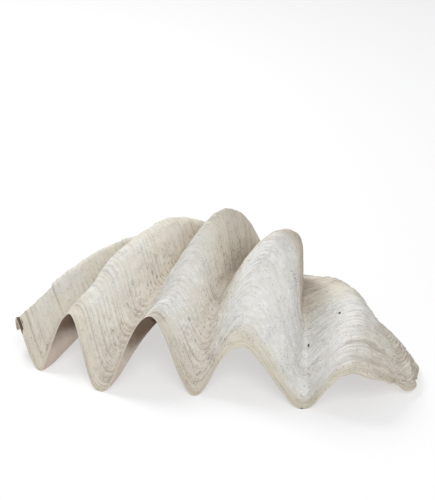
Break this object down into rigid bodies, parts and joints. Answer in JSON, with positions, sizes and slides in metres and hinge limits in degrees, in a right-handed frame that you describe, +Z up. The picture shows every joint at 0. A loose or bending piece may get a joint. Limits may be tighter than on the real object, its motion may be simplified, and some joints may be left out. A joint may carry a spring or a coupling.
{
  "type": "giant clam shell",
  "caption": "One valve of a giant clam, lying hollow side down, with broad folded ribs, growth ledges and a deeply scalloped margin.",
  "frame": {"origin": "on the ground, under the middle of the shell's bounding box", "axes": "+X along the shell's longest side, from the narrow left end to the broad right end; +Z up, away from the hollow; -Y towards the scalloped margin"},
  "size_m": [0.7614, 0.4279, 0.2776],
  "materials": {
    "shell": "bleached chalky shell, matt, with fine growth lines"
  },
  "bodies": {
    "root": {"valve": "shell"}
  },
  "joints": []
}
